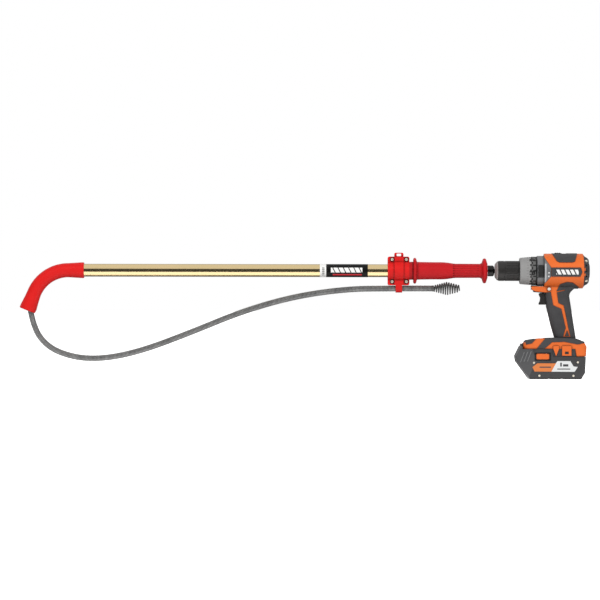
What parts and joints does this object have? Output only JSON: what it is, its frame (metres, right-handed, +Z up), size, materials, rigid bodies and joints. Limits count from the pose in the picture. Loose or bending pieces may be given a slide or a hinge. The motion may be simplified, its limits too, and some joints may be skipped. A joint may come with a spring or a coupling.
{
  "type": "drain snake machine",
  "caption": "Hand-held drain snake: a spiral cable in a bent, guarded guide tube with a red grip, driven by a pistol-grip cordless drill.",
  "frame": {"origin": "middle of the red hand grip, on the guide tube's axis", "axes": "+X along the guide tube towards the drill, +Z up with the drill's handle hanging down, +Y to the tool's right side"},
  "size_m": [1.1959, 0.0778, 0.2648],
  "materials": {
    "gold_zinc": "yellow zinc plating, satin gloss",
    "red_vinyl": "smooth dipped vinyl",
    "red_plastic": "moulded, semi-gloss",
    "label_film": "printed film",
    "zinc_screw": "zinc plated",
    "cable_steel": "spiral-wound, lightly oiled",
    "nylon": "natural nylon",
    "bright_steel": "ground",
    "black_oxide": "black oxide",
    "chuck_black": "fine moulded texture",
    "ring_grey": "silver-grey moulded, ribbed",
    "dark_plastic": "moulded, fine spark texture",
    "case_grey": "cast, satin",
    "orange_plastic": "moulded, semi-gloss",
    "dark_rubber": "overmoulded rubber",
    "motor_steel": "laminated",
    "lens": "clear moulded",
    "board_green": "circuit board",
    "contact_copper": "plated contact",
    "cell_wrap": "shrink-wrapped cell",
    "pale_button": "moulded, gloss"
  },
  "bodies": {
    "guide": {"guide_tube": "gold_zinc", "elbow_guard": "red_vinyl", "tube_label": "label_film", "clamp_front": "red_plastic", "clamp_back": "red_plastic", "clamp_screws": "zinc_screw", "clamp_nuts": "zinc_screw", "hand_grip": "red_plastic", "front_bush": "nylon", "rear_bush": "nylon", "cable_inner": "cable_steel", "cable_run": "cable_steel"},
    "bulb": {"bulb_head": "cable_steel"},
    "feed_carriage": {"guide_ring": "nylon"},
    "drill": {"spindle_bearing": "bright_steel", "gear_case": "case_grey", "indicator_windows": "dark_plastic", "gearbox": "case_grey", "motor_stator": "motor_steel", "rear_bearing": "bright_steel", "bearing_plate": "case_grey", "housing_left": "orange_plastic", "housing_right": "orange_plastic", "housing_screws": "black_oxide", "overmould_left": "dark_rubber", "overmould_right": "dark_rubber", "rear_cap": "dark_plastic", "cap_screws": "zinc_screw", "switch_module": "dark_plastic", "led_lens": "lens", "control_board": "board_green", "foot_terminals": "dark_plastic"},
    "drive_shaft": {"drive_tube": "bright_steel", "drive_adapter": "black_oxide", "adapter_pin": "bright_steel", "chuck_body": "bright_steel", "spindle": "bright_steel"},
    "latch": {"latch_button": "bright_steel"},
    "jaw_1": {"chuck_jaw_1": "bright_steel"},
    "jaw_2": {"chuck_jaw_2": "bright_steel"},
    "jaw_3": {"chuck_jaw_3": "bright_steel"},
    "sleeve": {"chuck_sleeve": "chuck_black"},
    "clutch": {"clutch_ring": "ring_grey"},
    "mode": {"mode_ring": "dark_plastic"},
    "rotor": {"motor_rotor": "motor_steel", "cooling_fan": "dark_plastic"},
    "trigger": {"trigger": "chuck_black"},
    "direction": {"direction_button": "pale_button"},
    "speed": {"speed_switch": "dark_plastic"},
    "battery": {"battery_top_case": "dark_plastic", "battery_bottom_case": "dark_plastic", "battery_cells": "cell_wrap", "battery_board": "board_green", "battery_contacts": "contact_copper", "battery_labels": "label_film", "battery_screws": "zinc_screw"},
    "release_left": {"release_button_left": "orange_plastic"},
    "release_right": {"release_button_right": "orange_plastic"}
  },
  "joints": [
    {"name": "feed_slide", "type": "slide", "parent": "guide", "child": "feed_carriage", "axis": [1, 0, 0], "range_m": [0, 0.66]},
    {"name": "drill_roll", "type": "hinge", "parent": "feed_carriage", "child": "drill", "pos_m": [0, 0, 0], "axis": [1, 0, 0], "continuous": true},
    {"name": "chuck_spin", "type": "hinge", "parent": "drill", "child": "drive_shaft", "pos_m": [0, 0, 0], "axis": [1, 0, 0], "continuous": true},
    {"name": "rotor_spin", "type": "hinge", "parent": "drill", "child": "rotor", "pos_m": [0, 0, 0], "axis": [1, 0, 0], "continuous": true},
    {"name": "bulb_spin", "type": "hinge", "parent": "guide", "child": "bulb", "pos_m": [-0.036, 0, -0.0371], "axis": [1, 0, 0], "continuous": true},
    {"name": "latch_press", "type": "slide", "parent": "drive_shaft", "child": "latch", "axis": [0, -1, 0], "range_m": [0, 0.0014], "stiffness_N_per_m": 500, "springref_m": -0.0006},
    {"name": "sleeve_turn", "type": "hinge", "parent": "drive_shaft", "child": "sleeve", "pos_m": [0, 0, 0], "axis": [1, 0, 0], "range_deg": [0, 720]},
    {"name": "clutch_turn", "type": "hinge", "parent": "drill", "child": "clutch", "pos_m": [0, 0, 0], "axis": [1, 0, 0], "range_deg": [0, 270]},
    {"name": "mode_turn", "type": "hinge", "parent": "drill", "child": "mode", "pos_m": [0, 0, 0], "axis": [1, 0, 0], "range_deg": [-30, 30]},
    {"name": "trigger_pull", "type": "slide", "parent": "drill", "child": "trigger", "axis": [1, 0, 0], "range_m": [0, 0.007], "stiffness_N_per_m": 500, "springref_m": -0.002},
    {"name": "direction_shift", "type": "slide", "parent": "drill", "child": "direction", "axis": [0, 1, 0], "range_m": [-0.003, 0.003]},
    {"name": "speed_shift", "type": "slide", "parent": "drill", "child": "speed", "axis": [1, 0, 0], "range_m": [0, 0.008]},
    {"name": "battery_slide", "type": "slide", "parent": "drill", "child": "battery", "axis": [-1, 0, 0], "range_m": [0, 0.1]},
    {"name": "release_left_press", "type": "slide", "parent": "battery", "child": "release_left", "axis": [0, 1, 0], "range_m": [0, 0.003], "stiffness_N_per_m": 600, "springref_m": -0.001},
    {"name": "release_right_press", "type": "slide", "parent": "battery", "child": "release_right", "axis": [0, -1, 0], "range_m": [0, 0.003], "stiffness_N_per_m": 600, "springref_m": -0.001},
    {"name": "jaw_1_slide", "type": "slide", "parent": "drive_shaft", "child": "jaw_1", "axis": [0.9659, 0, 0.2588], "range_m": [0, 0.00802]},
    {"name": "jaw_2_slide", "type": "slide", "parent": "drive_shaft", "child": "jaw_2", "axis": [0.9659, -0.2241, -0.1294], "range_m": [0, 0.00802]},
    {"name": "jaw_3_slide", "type": "slide", "parent": "drive_shaft", "child": "jaw_3", "axis": [0.9659, 0.2241, -0.1294], "range_m": [0, 0.00802]}
  ],
  "couplings": [
    {"joint": "rotor_spin", "follows": "chuck_spin", "ratio": 12},
    {"joint": "bulb_spin", "follows": "chuck_spin", "ratio": -1},
    {"joint": "jaw_1_slide", "follows": "sleeve_turn", "m_per_rad": 0.00063662},
    {"joint": "jaw_2_slide", "follows": "sleeve_turn", "m_per_rad": 0.00063662},
    {"joint": "jaw_3_slide", "follows": "sleeve_turn", "m_per_rad": 0.00063662}
  ]
}
